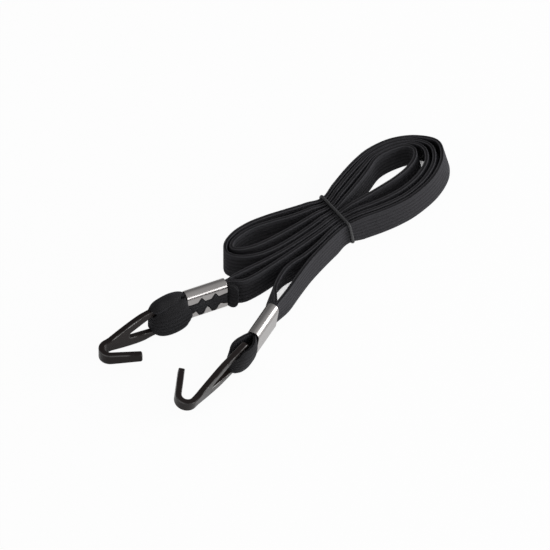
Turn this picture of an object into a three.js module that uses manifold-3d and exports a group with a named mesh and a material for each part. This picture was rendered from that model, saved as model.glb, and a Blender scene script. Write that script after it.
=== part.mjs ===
// Luggage strap: one flat elastic band doubled into two strands, with a steel hook at each end.
// It lies wound into a hank that stands on the band's edge and is tied at the waist.
// Millimetres. +X runs along the hank, away from the hooks, and +Z is up.
import * as THREE from "three";
import { mergeVertices } from "three/addons/utils/BufferGeometryUtils.js";
import Module from "manifold-3d";

const GAP = 0.3;

// Elastic band
const BAND_WIDTH = 13;
const BAND_THICK = 1.5;
const BAND_BEVEL = 0.35;
const TAIL_LENGTH = 4.3;
const TAIL_SPRING = 3.9;

// Tie round the waist of the hank
const TIE_DIAMETER = 1.1;

// Hank: runs are numbered from the far side, and turns from the outermost.
const STRANDS = 2;
const RUNS = 4 * STRANDS;
const WAIST_PITCH = 2.5;
const WAIST_FADE = 5.5;
const END_PITCH = 2.16;
const RIGHT_CENTRE = 36;
const RIGHT_DRIFT = 0.165;
const RIGHT_FAR = 15.3;
const RIGHT_NEAR = [15.2, 13, 10, 4];
const RIGHT_REACH = [59.1, 56.6, 52.4, 48.1];
const RIGHT_LEAN = 0.14;
const LEFT_CENTRE = 35;
const LEFT_BACK = [14, 11.5];
const LEFT_FRONT = [-3.4, 1.9];
const LEFT_REACH = [51.2, 48.2];

// Free ends of the strands, from the waist to the ferrules: distance along the hank, and drop from the run.
const LEFT_ENDS = [
  [[10, 2.5], [20, 4.1], [30, 5.3], [40, 5.8], [50, 5.7], [57, 5.8]],
  [[10, 2.3], [20, 4], [30, 5.6], [40, 6.9], [49, 7.7], [55, 7.2]],
];
const RIGHT_ENDS = [
  [[8, 2.2], [16, 5.1], [25, 9], [34, 13.7], [42, 18]],
  [[10, 3], [20, 5.4], [28, 7.6], [36, 10.8], [43, 15.1]],
];

// Ferrule: sheet steel folded round the band, its toothed seam closed on one side.
const FERRULE_LENGTH = 18.5;
const FERRULE_HEIGHT = 11;
const FERRULE_THICK = 5.2;
const SHEET = 0.8;
const FERRULE_RADIUS = 2;
const SEAM_GAP = 2.6;
const NOTCHES = 2;
const NOTCH_WIDTH = 3.4;
const NOTCH_HEIGHT = 8.4;

// Hook: steel plate, measured along its middle line from the end of the eye.
const PLATE = 2.1;
const PLATE_BEVEL = 0.3;
const EYE_HEIGHT = 14.5;
const EYE_CORNER = 3;
const EYE_STRAIGHT = 14;
const BAR = 3;
const LEG = 2.6;
const SLOT_STRAIGHT = 10;
const SLOT_END = 20.5;
const SLOT_END_RADIUS = 1.2;
const HOOK_LENGTH = 38;
const NECK_AT = 31;
const NECK_HEIGHT = 5.8;
const TIP_HEIGHT = 4;
const TIP_LENGTH = 13;
const BEND_RADIUS = 2.2;
const MOUTH_ANGLE = 33;

// Ends: where the band enters each ferrule, the loop beyond it, and how the hook lies in the loop.
const EYE_LEVEL = EYE_HEIGHT / 2 + 0.1;
const LEFT_MOUTH = [-62.15, -8.08];
const LEFT_LOOP = 17.5;
const LEFT_BULGE = 4.6;
const RIGHT_MOUTH = [-53.77, -31.15];
const RIGHT_LOOP = 16;
const RIGHT_BULGE = 3.9;
const LEFT_LIE = { turn: 172.6, swing: 11, roll: 0, flip: 1 };
const RIGHT_LIE = { turn: 209.3, swing: -11, roll: -14, flip: -1 };
const ENDS = [
  { side: "left", mouth: LEFT_MOUTH, loop: LEFT_LOOP, bulge: LEFT_BULGE, ...LEFT_LIE },
  { side: "right", mouth: RIGHT_MOUTH, loop: RIGHT_LOOP, bulge: RIGHT_BULGE, ...RIGHT_LIE },
];
const EYE_IN_LOOP = 9;
const LOOP_NARROW = EYE_HEIGHT - 2 * LEG - 0.9;
const LOOP_FLARE = BAND_WIDTH - 1;
const NECK_TURN = 5;

const BAND_BLACK = { color: 0x26262a, roughness: 0.92, metalness: 0 };
const HOOK_BLACK = { color: 0x35312f, roughness: 0.45, metalness: 0.55 };
const NICKEL = { color: 0xb6b1ad, roughness: 0.32, metalness: 1 };
const TIE_BLACK = { color: 0x2e2d30, roughness: 0.6, metalness: 0 };

const wasm = await Module();
wasm.setup();
const radians = THREE.MathUtils.degToRad;
const lerp = THREE.MathUtils.lerp;
const smooth = (x, a, b) => THREE.MathUtils.smoothstep(x, a, b);

function solid(geometry) {
  const bare = geometry.clone();
  bare.deleteAttribute("normal");
  bare.deleteAttribute("uv");
  const merged = mergeVertices(bare, 1e-4);
  const vertProperties = new Float32Array(merged.attributes.position.array);
  const triVerts = new Uint32Array(merged.index.array);
  return new wasm.Manifold(new wasm.Mesh({ numProp: 3, vertProperties, triVerts }));
}

function geometryOf(manifold) {
  const mesh = manifold.getMesh();
  const geometry = new THREE.BufferGeometry();
  geometry.setAttribute("position", new THREE.BufferAttribute(mesh.vertProperties, 3));
  geometry.setIndex(new THREE.BufferAttribute(mesh.triVerts, 1));
  return geometry;
}

function piece(name, geometry, look) {
  const mesh = new THREE.Mesh(geometry, new THREE.MeshStandardMaterial(look));
  mesh.name = name;
  return mesh;
}

// A bevelled rectangle, counterclockwise: across the thickness, then along the width.
function bandOutline(thick, width, bevel) {
  const t = thick / 2;
  const w = width / 2;
  const quarter = [[t, w - bevel], [t - bevel, w]];
  const left = quarter.map(([a, b]) => [-a, b]).reverse();
  const half = [...quarter, ...left];
  return [...half, ...half.map(([a, b]) => [-a, -b])];
}

// A skin over rings of points that all have the same count; a closed row joins its last ring to its first.
function skin(rings, closed = false) {
  const sides = rings[0].length;
  const index = [];
  const ringCount = closed ? rings.length : rings.length - 1;
  for (let i = 0; i < ringCount; i++) {
    const a = i * sides;
    const b = ((i + 1) % rings.length) * sides;
    for (let j = 0; j < sides; j++) {
      const k = (j + 1) % sides;
      index.push(a + j, a + k, b + k, a + j, b + k, b + j);
    }
  }
  const last = (rings.length - 1) * sides;
  for (let j = 1; j < sides - 1 && !closed; j++) {
    index.push(0, j + 1, j, last, last + j, last + j + 1);
  }
  const geometry = new THREE.BufferGeometry();
  geometry.setFromPoints(rings.flat());
  geometry.setIndex(index);
  return geometry;
}

// A band swept along stations of { at, along, thick, width }, its width upright.
function sweep(stations, bevel) {
  const rings = stations.map(({ at, along, thick, width }) => {
    const across = new THREE.Vector3(-along.y, along.x, 0).normalize();
    const outline = bandOutline(thick, width, Math.min(bevel, thick / 3));
    return outline.map(([a, b]) => at.clone().addScaledVector(across, a).setZ(at.z + b));
  });
  return skin(rings);
}

// Points on a route, close together in bends and where the band changes its width.
function stationsOn(route, turnLimit, stepAt) {
  const fine = Math.ceil(route.getLength() / 0.4);
  const points = route.getSpacedPoints(fine);
  const along = points.map((p, i) => {
    const before = points[Math.max(i - 1, 0)];
    return points[Math.min(i + 1, fine)].clone().sub(before).normalize();
  });
  const kept = [0];
  for (let i = 1; i < fine; i++) {
    const last = kept[kept.length - 1];
    const turned = along[i].angleTo(along[last]) > turnLimit;
    if (turned || points[i].distanceTo(points[last]) > stepAt(points[i], i / fine)) kept.push(i);
  }
  if (fine - kept[kept.length - 1] < 3) kept.pop();
  return [...kept, fine].map((i) => ({ at: points[i], along: along[i], share: i / fine }));
}

// Hank
const waistY = (run) => ((RUNS - 1) / 2 - run) * WAIST_PITCH;
const plan = (x, y) => new THREE.Vector3(x, y, BAND_WIDTH / 2);
const LEG_SHARES = [0.25, 0.5, 0.75];
const TURN_ANGLES = [-90, -60, -30, 0, 30, 60, 90];

// One turn at the far end of the hank, from its near leg to its far leg.
function rightTurn(turn) {
  const drawnIn = (t) => Math.sin((t * Math.PI) / 2);
  const near = (t) => lerp(waistY(RUNS - 1 - turn), -RIGHT_NEAR[turn], drawnIn(t));
  const outer = (t) => lerp(waistY(0), RIGHT_FAR, drawnIn(t));
  const far = (t) => outer(t) - turn * lerp(WAIST_PITCH, END_PITCH, t * t);
  const middle = (far(1) + near(1)) / 2;
  const half = (far(1) - near(1)) / 2;
  const reach = RIGHT_REACH[turn] - RIGHT_CENTRE;
  const drifted = (x, y) => plan(x, y + RIGHT_DRIFT * x);
  const end = TURN_ANGLES.map(radians).map((a) =>
    drifted(RIGHT_CENTRE + reach * Math.cos(a), middle + half * Math.sin(a)),
  );
  const nearLeg = LEG_SHARES.map((t) => drifted(RIGHT_CENTRE * t, near(t)));
  const farLeg = LEG_SHARES.map((t) => drifted(RIGHT_CENTRE * t, far(t))).reverse();
  return [...nearLeg, ...end, ...farLeg];
}

// One turn at the hooks' end of the hank, from its front leg to its back leg.
function leftTurn(turn) {
  const front = (t) => lerp(waistY(RUNS / 2 - 1 - turn), LEFT_FRONT[turn], Math.sin((t * Math.PI) / 2));
  const back = (t) => lerp(waistY(turn), LEFT_BACK[turn], smooth(t, 0, 1) ** (1 + turn));
  const middle = (LEFT_BACK[turn] + LEFT_FRONT[turn]) / 2;
  const half = (LEFT_BACK[turn] - LEFT_FRONT[turn]) / 2;
  const reach = LEFT_REACH[turn] - LEFT_CENTRE;
  const end = TURN_ANGLES.map(radians).map((a) =>
    plan(-LEFT_CENTRE - reach * Math.cos(a), middle + half * Math.sin(a)),
  );
  const frontLeg = LEG_SHARES.map((t) => plan(-LEFT_CENTRE * t, front(t)));
  const backLeg = LEG_SHARES.map((t) => plan(-LEFT_CENTRE * t, back(t))).reverse();
  return [...frontLeg, ...end, ...backLeg];
}

// Ends: a frame at each ferrule's hook side, +X out to the hook, +Y to the side the left seam faces.
function endFrame(end) {
  const frame = new THREE.Group();
  const turn = radians(end.turn);
  const out = new THREE.Vector3(Math.cos(turn), Math.sin(turn), 0);
  frame.position.set(...end.mouth, EYE_LEVEL).addScaledVector(out, FERRULE_LENGTH);
  frame.rotation.z = turn;
  frame.updateMatrixWorld(true);
  return frame;
}

const FRAMES = ENDS.map(endFrame);
const MIDDLE = -FERRULE_LENGTH / 2;

// The band's layers in a ferrule share the room between its walls.
const LAYER_ROOM = FERRULE_THICK - 2 * SHEET - 2 * GAP;
const LAYER_WIDTH = FERRULE_HEIGHT - 2 * SHEET - 2 * GAP - 0.2;
const layerThick = (count) => (LAYER_ROOM - (count - 1) * GAP) / count;
const layerAt = (count, i) => (i - (count - 1) / 2) * (layerThick(count) + GAP);
const LAYERS = [STRANDS + 1, STRANDS];
const TAIL_LAYER = layerAt(LAYERS[0], STRANDS);

// The last stretch of a strand: into the ferrule, up to its middle.
function intoFerrule(which, strand) {
  const layer = layerAt(LAYERS[which], which ? STRANDS - 1 - strand : strand);
  return [-FERRULE_LENGTH - 1.5, -FERRULE_LENGTH + 2, MIDDLE - 3, MIDDLE - GAP / 2].map((x) =>
    FRAMES[which].localToWorld(new THREE.Vector3(x, layer, 0)),
  );
}

function strandRoute(strand) {
  const freeEnd = (list, run) => list.map(([x, drop]) => plan(-x, waistY(run) - drop));
  const waist = (run) => plan(0, waistY(run));
  const firstRun = RUNS / 2 + strand;
  const lastRun = RUNS - 1 - strand;
  return new THREE.CatmullRomCurve3([
    ...intoFerrule(0, strand).reverse(),
    ...freeEnd(LEFT_ENDS[strand], firstRun).reverse(),
    waist(firstRun),
    ...rightTurn(RUNS / 2 - 1 - strand),
    waist(RUNS / 2 - 1 - strand),
    ...leftTurn(strand),
    waist(strand),
    ...rightTurn(strand).reverse(),
    waist(lastRun),
    ...freeEnd(RIGHT_ENDS[strand], lastRun),
    ...intoFerrule(1, strand),
  ]);
}

// The band is pressed narrower under the tie and where the ferrules grip it.
function strandStations(strand) {
  const route = strandRoute(strand);
  const long = route.getLength();
  const pinch = TIE_DIAMETER + GAP + 0.05;
  const grip = FERRULE_LENGTH / 2;
  const nearFerrule = (share) => Math.min(share, 1 - share) * long;
  const step = (p, share) => (Math.abs(p.x) < WAIST_FADE || nearFerrule(share) < grip + 8 ? 2 : 8);
  return stationsOn(route, radians(14), step).map((station) => {
    const free = smooth(nearFerrule(station.share), grip - 1, grip + 6);
    const drawn = pinch * (1 - smooth(Math.abs(station.at.x), TIE_DIAMETER, WAIST_FADE));
    const which = station.share < 0.5 ? 0 : 1;
    const width = lerp(LAYER_WIDTH, BAND_WIDTH - 2 * drawn, free);
    const loose = smooth(nearFerrule(station.share), grip + 0.5, grip + 9);
    const thick = lerp(layerThick(LAYERS[which]), BAND_THICK, loose);
    const at = station.at.clone().setZ(Math.max(station.at.z, width / 2));
    return { ...station, at, width, thick };
  });
}

function leastGap(stations) {
  let least = Infinity;
  const clear = 6 * BAND_THICK;
  const along = [0];
  stations.forEach(({ at }, i) => i && along.push(along[i - 1] + at.distanceTo(stations[i - 1].at)));
  const segment = new THREE.Line3();
  const nearest = new THREE.Vector3();
  stations.forEach(({ at }, i) => {
    for (let j = 1; j < stations.length; j++) {
      if (Math.min(Math.abs(along[j] - along[i]), Math.abs(along[j - 1] - along[i])) < clear) continue;
      segment.set(stations[j - 1].at, stations[j].at).closestPointToPoint(at, true, nearest);
      least = Math.min(least, nearest.distanceTo(at) - BAND_THICK);
    }
  });
  return least;
}

// The turns at the far end spread a little at the foot.
function leaned(geometry) {
  const p = geometry.attributes.position;
  for (let i = 0; i < p.count; i++) {
    const lean = RIGHT_LEAN * smooth(p.getX(i), 0.4 * RIGHT_CENTRE, RIGHT_REACH[0]);
    p.setX(i, p.getX(i) + lean * (BAND_WIDTH / 2 - p.getZ(i)));
  }
  return geometry;
}

const strands = new THREE.Group();
for (let strand = 0; strand < STRANDS; strand++) {
  const stations = strandStations(strand);
  const name = `band_strand_${strand + 1}`;
  console.log(`${name}: least gap to itself ${leastGap(stations).toFixed(2)} mm`);
  strands.add(piece(name, leaned(sweep(stations, BAND_BEVEL)), BAND_BLACK));
}

// Tie: a ring round all the runs, its lowest point just above the band's edge.
function tie() {
  const r = TIE_DIAMETER / 2;
  const halfY = waistY(0) + BAND_THICK / 2 + GAP + r;
  const halfZ = BAND_WIDTH / 2 - r - 0.05;
  const corner = 1.6;
  const ring = [];
  const corners = [[1, 1], [-1, 1], [-1, -1], [1, -1]];
  corners.forEach(([sy, sz], quarter) => {
    for (let i = 0; i <= 4; i++) {
      const a = ((quarter + i / 4) * Math.PI) / 2;
      const y = sy * (halfY - corner) + corner * Math.cos(a);
      const z = sz * (halfZ - corner) + corner * Math.sin(a);
      const out = new THREE.Vector3(0, Math.cos(a), Math.sin(a));
      ring.push({ at: new THREE.Vector3(0, y, BAND_WIDTH / 2 + z), out });
    }
  });
  const sides = [...Array(8).keys()].map((i) => (i * Math.PI) / 4);
  const rings = ring.map(({ at, out }) =>
    sides.map((a) => at.clone().addScaledVector(out, r * Math.cos(a)).setX(-r * Math.sin(a))),
  );
  return skin(rings, true);
}

// Ferrule, in the end's frame: its hook side is at x = 0.
function roundedRectangle(width, height, radius) {
  const shape = new THREE.Shape();
  const w = width / 2;
  const h = height / 2;
  shape.moveTo(w, -h + radius);
  shape.absarc(w - radius, h - radius, radius, 0, Math.PI / 2);
  shape.absarc(-w + radius, h - radius, radius, Math.PI / 2, Math.PI);
  shape.absarc(-w + radius, -h + radius, radius, Math.PI, 1.5 * Math.PI);
  shape.absarc(w - radius, -h + radius, radius, 1.5 * Math.PI, 2 * Math.PI);
  return shape;
}

function extruded(shape, depth, curveSegments = 5) {
  return new THREE.ExtrudeGeometry(shape, { depth, bevelEnabled: false, steps: 1, curveSegments });
}

// The seam runs along the ferrule and widens to a notch between the teeth of both jaws.
function seamShape() {
  const gap = SEAM_GAP / 2;
  const pitch = FERRULE_LENGTH / (NOTCHES + 1);
  const jaw = [[0.5, gap]];
  for (let i = 1; i <= NOTCHES; i++) {
    const x = -FERRULE_LENGTH + i * pitch;
    jaw.unshift([x + NOTCH_WIDTH / 2, gap], [x, NOTCH_HEIGHT / 2], [x - NOTCH_WIDTH / 2, gap]);
    jaw.sort((a, b) => b[0] - a[0]);
  }
  jaw.push([-FERRULE_LENGTH - 0.5, gap]);
  const other = jaw.map(([x, z]) => [x, -z]).reverse();
  return new THREE.Shape([...jaw, ...other].map(([x, z]) => new THREE.Vector2(x, z)));
}

function ferrule() {
  const outer = extruded(roundedRectangle(FERRULE_THICK, FERRULE_HEIGHT, FERRULE_RADIUS), FERRULE_LENGTH);
  const cavity = roundedRectangle(
    FERRULE_THICK - 2 * SHEET,
    FERRULE_HEIGHT - 2 * SHEET,
    FERRULE_RADIUS - SHEET,
  );
  const inner = extruded(cavity, FERRULE_LENGTH + 2).translate(0, 0, -1);
  const sleeve = solid(outer).subtract(solid(inner));
  const upright = geometryOf(sleeve).rotateX(Math.PI / 2).rotateZ(-Math.PI / 2);
  const seam = extruded(seamShape(), FERRULE_THICK).rotateX(Math.PI / 2);
  seam.translate(0, FERRULE_THICK + 0.5, 0);
  return geometryOf(solid(upright).subtract(solid(seam)));
}

// Eye loop: the band leaves the ferrule, goes round the eye's bar inside the slot, and comes back.
function neckFrame(end) {
  const turn = radians(end.swing);
  const radius = NECK_TURN / turn;
  return (x) => {
    const share = THREE.MathUtils.clamp(x / NECK_TURN, 0, 1);
    const angle = turn * share;
    const straight = x < 0 ? x : Math.max(0, x - NECK_TURN);
    return {
      x: radius * Math.sin(angle) + straight * Math.cos(angle),
      y: radius * (1 - Math.cos(angle)) + straight * Math.sin(angle),
      angle,
      roll: radians(end.roll) * smooth(x, 0, NECK_TURN),
    };
  };
}

function eyeLoop(end) {
  const neck = neckFrame(end);
  const long = end.loop - BAND_THICK / 2;
  const mouth = layerAt(STRANDS, STRANDS - 1);
  const thick = layerThick(STRANDS);
  const barAt = end.loop - EYE_IN_LOOP + BAR / 2;
  const wide = end.bulge / 0.77;
  const tail = end.side === "left";
  const half = [];
  for (let i = 1; i <= 12; i++) {
    const a = (Math.PI * i) / 12;
    const y = wide * Math.sin(a) * Math.sin(a / 2) + mouth * Math.cos(a / 2) ** 2;
    half.push([(long / 2) * (1 - Math.cos(a)), y]);
  }
  const leg = [[MIDDLE + GAP / 2, mouth], [-4, mouth], [-1, mouth]];
  const through = [
    [-FERRULE_LENGTH - TAIL_LENGTH, TAIL_SPRING],
    [-FERRULE_LENGTH - TAIL_LENGTH / 2, lerp(TAIL_LAYER, TAIL_SPRING, 0.45)],
    [-FERRULE_LENGTH + 0.5, TAIL_LAYER],
    [MIDDLE - 2, TAIL_LAYER],
    [-4, mouth],
    [-1, mouth],
  ];
  const back = [...leg, ...half].map(([x, y]) => new THREE.Vector3(x, -y, 0));
  const start = tail ? through : leg;
  const front = [...start, ...half.slice(0, -1)].map(([x, y]) => new THREE.Vector3(x, y, 0));
  const route = new THREE.CatmullRomCurve3([...back, ...front.reverse()]);
  const step = (p) => (p.x < 0 ? 3 : 1.6);
  const stations = stationsOn(route, radians(16), step).map((station) => {
    const { x, y } = station.at;
    const inside = x < 0.5 && x > -FERRULE_LENGTH - 0.5;
    const flare = smooth(x, 0.2, 3) * (1 - smooth(x, barAt - 1.5, barAt + 2));
    const tailFlare = smooth(-x, FERRULE_LENGTH + 0.4, FERRULE_LENGTH + 3);
    const outside = x > 0 ? LOOP_NARROW + (LOOP_FLARE - LOOP_NARROW) * flare : LAYER_WIDTH;
    const width = inside ? Math.min(LAYER_WIDTH, outside) : lerp(outside, BAND_WIDTH - 1, tailFlare);
    const threeLayers = tail && y > 0 ? 1 - smooth(x, MIDDLE, MIDDLE + 3) : 0;
    const squeezed = lerp(thick, layerThick(LAYERS[0]), threeLayers);
    const loose = Math.max(smooth(x, 0, 3), tailFlare);
    return { ...station, width, thick: lerp(squeezed, BAND_THICK, loose) };
  });
  const geometry = sweep(stations, BAND_BEVEL);
  const p = geometry.attributes.position;
  for (let i = 0; i < p.count; i++) {
    const f = neck(p.getX(i));
    const y = p.getY(i) * Math.cos(f.roll) - p.getZ(i) * Math.sin(f.roll);
    const z = p.getY(i) * Math.sin(f.roll) + p.getZ(i) * Math.cos(f.roll);
    p.setXYZ(i, f.x - y * Math.sin(f.angle), f.y + y * Math.cos(f.angle), z);
  }
  return geometry;
}

// Hook, with the middle of the eye's bar at the origin and the shank along +X; its tip turns to +Y.
function plateHeight(s, total) {
  if (s < EYE_CORNER) {
    const rise = Math.sqrt(EYE_CORNER ** 2 - (EYE_CORNER - s) ** 2);
    return EYE_HEIGHT - 2 * (EYE_CORNER - rise);
  }
  if (s < NECK_AT) {
    const share = Math.max(0, (s - EYE_STRAIGHT) / (NECK_AT - EYE_STRAIGHT));
    return EYE_HEIGHT - (EYE_HEIGHT - NECK_HEIGHT) * share ** 1.3;
  }
  return lerp(NECK_HEIGHT, TIP_HEIGHT, (s - NECK_AT) / (total - NECK_AT));
}

function hook() {
  const radius = BEND_RADIUS + PLATE / 2;
  const bendAt = HOOK_LENGTH - radius - PLATE / 2;
  const bendAngle = Math.PI - radians(MOUTH_ANGLE);
  const total = bendAt + radius * bendAngle + TIP_LENGTH;
  const spots = [0, 0.4, 1.1, 2, EYE_CORNER, EYE_STRAIGHT];
  for (let s = EYE_STRAIGHT + 3; s < bendAt - 1; s += 3) spots.push(s);
  for (let i = 0; i <= 10; i++) spots.push(bendAt + (radius * bendAngle * i) / 10);
  spots.push(total - TIP_LENGTH / 2, total - 0.5, total);
  const rings = spots.map((s) => {
    const angle = THREE.MathUtils.clamp((s - bendAt) / radius, 0, bendAngle);
    const straight = s < bendAt ? s - bendAt : Math.max(0, s - bendAt - radius * bendAngle);
    const x = bendAt - BAR / 2 + radius * Math.sin(angle) + straight * Math.cos(angle);
    const y = radius * (1 - Math.cos(angle)) + straight * Math.sin(angle);
    const blunt = s > total - 0.1 || s < 0.1 ? 0.4 : 0;
    const outline = bandOutline(PLATE - blunt, plateHeight(s, total) - blunt, PLATE_BEVEL);
    return outline.map(([a, b]) => new THREE.Vector3(x - a * Math.sin(angle), y + a * Math.cos(angle), b));
  });
  const slotHalf = EYE_HEIGHT / 2 - LEG;
  const slot = new THREE.Shape();
  const from = BAR / 2;
  const endAt = SLOT_END - BAR / 2 - SLOT_END_RADIUS;
  slot.moveTo(from, -slotHalf);
  slot.lineTo(SLOT_STRAIGHT - BAR / 2, -slotHalf);
  slot.absarc(endAt, 0, SLOT_END_RADIUS, -Math.PI / 3, Math.PI / 3);
  slot.lineTo(SLOT_STRAIGHT - BAR / 2, slotHalf);
  slot.lineTo(from, slotHalf);
  const cutter = extruded(slot, 4 * PLATE).rotateX(Math.PI / 2).translate(0, 2 * PLATE, 0);
  return geometryOf(solid(skin(rings)).subtract(solid(cutter)));
}

const strap = new THREE.Group();
strap.add(strands, piece("waist_tie", tie(), TIE_BLACK));
ENDS.forEach((end, which) => {
  const frame = FRAMES[which];
  const sleeve = piece(`ferrule_${end.side}`, ferrule(), NICKEL);
  sleeve.rotation.x = end.flip > 0 ? 0 : Math.PI;
  frame.add(sleeve, piece(`eye_loop_${end.side}`, eyeLoop(end), BAND_BLACK));
  const seat = neckFrame(end)(end.loop - EYE_IN_LOOP + BAR / 2);
  const hung = piece(`hook_${end.side}`, hook(), HOOK_BLACK);
  hung.rotation.order = "ZYX";
  hung.position.set(seat.x, seat.y, 0);
  hung.rotation.set(radians(end.roll) + (end.flip > 0 ? 0 : Math.PI), 0, seat.angle);
  frame.add(hung);
  strap.add(frame);
});

// The part's origin is below the middle of its box.
const part = new THREE.Group();
part.add(strap);
part.updateMatrixWorld(true);
const box = new THREE.Box3().setFromObject(strap, true);
strap.position.set(-(box.min.x + box.max.x) / 2, -(box.min.y + box.max.y) / 2, -box.min.z);

export default part;
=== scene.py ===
# Luggage strap: a flat elastic band doubled into two strands, with a steel hook at each end.
# It lies wound into a hank that stands on the band's edge and is tied at the waist.
import math

import bpy
import numpy as np
from mathutils import Matrix, Vector
from mathutils.geometry import delaunay_2d_cdt


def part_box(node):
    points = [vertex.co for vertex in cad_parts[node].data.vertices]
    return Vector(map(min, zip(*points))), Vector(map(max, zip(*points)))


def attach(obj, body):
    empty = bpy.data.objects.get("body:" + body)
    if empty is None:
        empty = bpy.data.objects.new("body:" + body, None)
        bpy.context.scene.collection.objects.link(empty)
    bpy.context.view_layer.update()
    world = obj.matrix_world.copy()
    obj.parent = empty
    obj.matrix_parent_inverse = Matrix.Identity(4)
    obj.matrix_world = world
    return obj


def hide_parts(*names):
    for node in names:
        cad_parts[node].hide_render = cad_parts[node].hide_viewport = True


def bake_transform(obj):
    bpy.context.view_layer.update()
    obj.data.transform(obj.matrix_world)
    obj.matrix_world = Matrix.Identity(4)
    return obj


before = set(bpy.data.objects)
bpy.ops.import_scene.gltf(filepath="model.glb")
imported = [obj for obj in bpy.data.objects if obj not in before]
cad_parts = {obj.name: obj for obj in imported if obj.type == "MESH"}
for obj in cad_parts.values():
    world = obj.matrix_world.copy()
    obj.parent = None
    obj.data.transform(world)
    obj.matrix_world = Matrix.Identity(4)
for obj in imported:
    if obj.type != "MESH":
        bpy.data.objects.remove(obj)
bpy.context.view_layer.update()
scene = bpy.context.scene

# Camera: it looks at the strap from the front left, 46 degrees above the floor,
# through a long lens that keeps near and far pieces in proportion.
MM = 0.001
VIEW_TURN = math.radians(-34)
VIEW_RISE = math.radians(46)
VIEW_WIDTH = 550 / 2.38 * MM
VIEW_DISTANCE = 8.0
tie_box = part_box("waist_tie")
WAIST = (Vector(tie_box[0]) + Vector(tie_box[1])) / 2
WAIST.z = 0
aim = WAIST + Vector((-35.3, -6.49, 0)) * MM
towards_camera = Vector((
    math.sin(VIEW_TURN) * math.cos(VIEW_RISE),
    -math.cos(VIEW_TURN) * math.cos(VIEW_RISE),
    math.sin(VIEW_RISE),
))


def linked(name, data):
    """A new object in the scene."""
    obj = bpy.data.objects.new(name, data)
    scene.collection.objects.link(obj)
    return obj


camera = linked("camera", bpy.data.cameras.new("camera"))
camera.data.sensor_width = 36
camera.data.lens = 36 * VIEW_DISTANCE / VIEW_WIDTH
camera.data.clip_end = 30
camera.location = aim + VIEW_DISTANCE * towards_camera
camera.rotation_euler = (-towards_camera).to_track_quat("-Z", "Y").to_euler()
scene.camera = camera

# Elastic band: rubber cores woven into black polyester, which leaves ribs along both faces.
# It is one length, doubled into two strands, and each strand passes the waist of the hank four times.
# Across the band, in millimetres
BAND_WIDTH, BAND_THICK = 13, 1.6
RIBS, RIB_GROOVE, RIB_POINTS = 6, 0.17, 8
EDGE_WIDTH, EDGE_DIP = 0.45, 0.3
WEFT_PITCH, TWILL_PITCH = 0.72, 0.36
# The waist: eight runs side by side, which the tie draws in
RUNS, WAIST_PITCH, WAIST_BACK = 8, 2.62, 0.6
WAIST_DRAW, WAIST_FADE = 0.9, 8
# Four turns at the right, outermost first, and two at the left
RIGHT_CENTRE, RIGHT_DRIFT, RIGHT_FAR, END_PITCH = 32.5, 0.15, 17.3, 1.85
RIGHT_NEAR = [15.3, 12.8, 9.3, 2.6]
RIGHT_REACH = [60.2, 57.05, 53.8, 49.2]
RIGHT_SAG = [0, 0, 0.3, 1]
RIGHT_SLACK = [0.175, 0.06, -0.03, -0.1]
TURN_LEAN = (0.25, 0.36)
LEFT_CENTRE, LEFT_SLACK = 35, 0.06
LEFT_BACK = [14.5, 11.6]
LEFT_FRONT = [-3.4, 1.9]
LEFT_REACH = [51.5, 48.3]
LEG_SHARES = (0.25, 0.5, 0.75)
TURN_ANGLES = np.radians(range(-90, 91, 30))
# The strands' ends: distances from the waist, with how far each strand has come forward there
LEFT_ENDS = [
    [(10, 2.7), (20, 4.5), (30, 5.8), (40, 6.4), (50, 6.4), (57, 6.6)],
    [(10, 2.5), (20, 4.4), (30, 6.1), (40, 7.6), (49, 8.7), (55, 8.5)],
]
RIGHT_ENDS = [
    [(8, 2.4), (16, 5.3), (25, 9), (34, 13.6), (42, 18)],
    [(8, 2.3), (16, 5), (26, 7.3), (31, 7.6), (36.3, 8.6), (41.6, 11.2), (47, 15.2)],
]
# In the ferrules: where the strands go in and which way, and the layers that they are pressed to
FERRULE_LENGTH, EYE_LEVEL = 18.5, 7.35
LEFT_MOUTH, LEFT_TURN = (-62.28, -9.0), math.radians(170.6)
RIGHT_MOUTH, RIGHT_TURN = (-53.77, -31.15), math.radians(209.3)
RIGHT_ROLL = math.radians(-8)
RIGHT_TIP = ((0.12, 14), (0.31, 58))
LAYER = 0.825
LEFT_LAYERS, RIGHT_LAYERS = (-1.1, 0), (LAYER, -LAYER)
LAYER_WIDTH, LAYER_END = 11.8, 8.4
LEFT_LAYER_THICK, RIGHT_LAYER_THICK = 0.8, 1.35
BAND_STEP = 1.2


def lerp(a, b, share):
    """A share of the way from a to b."""
    return a + (b - a) * share


def ease(value, start, end):
    """0 before start and 1 after end, with a smooth step."""
    share = np.clip((np.asarray(value, float) - start) / (end - start), 0, 1)
    return share * share * (3 - 2 * share)


def to_part(points):
    """Millimetres from the waist of the hank become metres in the part's frame."""
    return np.asarray(points, float) * MM + np.array(WAIST)


def end_frame(mouth, turn):
    """A frame at the hook side of a ferrule: x runs out to the hook, y to its side and z up."""
    out = np.array([math.cos(turn), math.sin(turn), 0])
    side = np.array([-math.sin(turn), math.cos(turn), 0])
    origin = np.array([*mouth, EYE_LEVEL]) + FERRULE_LENGTH * out
    return lambda points: origin + np.asarray(points, float) @ np.array([out, side, [0, 0, 1]])


from_left_end = end_frame(LEFT_MOUTH, LEFT_TURN)
from_right_end = end_frame(RIGHT_MOUTH, RIGHT_TURN)


def waist_y(run):
    """Where a run crosses the waist, counted from the far side."""
    return ((RUNS - 1) / 2 - run) * WAIST_PITCH + WAIST_BACK


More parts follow.
